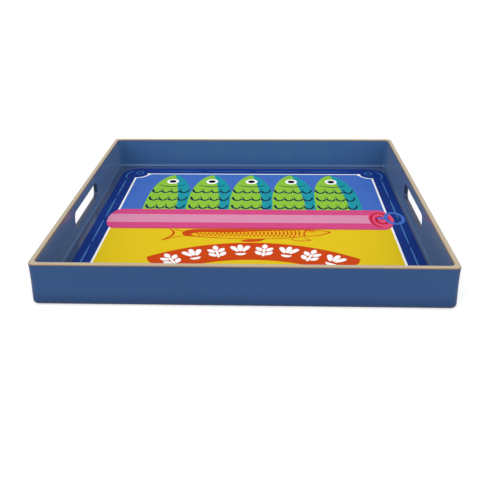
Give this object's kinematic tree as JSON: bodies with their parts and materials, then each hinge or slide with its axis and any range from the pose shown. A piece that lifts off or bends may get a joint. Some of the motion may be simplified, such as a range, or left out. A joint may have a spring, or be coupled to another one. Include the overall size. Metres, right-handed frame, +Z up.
{
  "type": "serving tray",
  "caption": "Square lacquered serving tray with upright walls, hand slots, a gilded rim and a printed picture under a clear overlay on its floor.",
  "frame": {"origin": "middle of the footprint, on the surface that the feet stand on", "axes": "+Z up, +Y towards the back wall, hand slots in the -X and +X walls"},
  "size_m": [0.3808, 0.3808, 0.042],
  "materials": {
    "shell_lacquer": "glossy blue lacquer on moulded plastic",
    "rim_gilding": "pale gold lacquer, satin",
    "laminate_adhesive": "dried clear adhesive film",
    "printed_film": "printed film, navy ground with coloured inks",
    "clear_overlay": "clear glossy overlay",
    "foot_rubber": "translucent moulded rubber, matt",
    "foot_adhesive": "acrylic adhesive pad"
  },
  "bodies": {
    "root": {"tray_shell": "shell_lacquer", "gilt_rim": "rim_gilding", "picture_adhesive": "laminate_adhesive", "picture_film": "printed_film", "clear_overlay": "clear_overlay", "foot_front_left": "foot_rubber", "foot_adhesive_front_left": "foot_adhesive", "foot_front_right": "foot_rubber", "foot_adhesive_front_right": "foot_adhesive", "foot_back_left": "foot_rubber", "foot_adhesive_back_left": "foot_adhesive", "foot_back_right": "foot_rubber", "foot_adhesive_back_right": "foot_adhesive"}
  },
  "joints": []
}
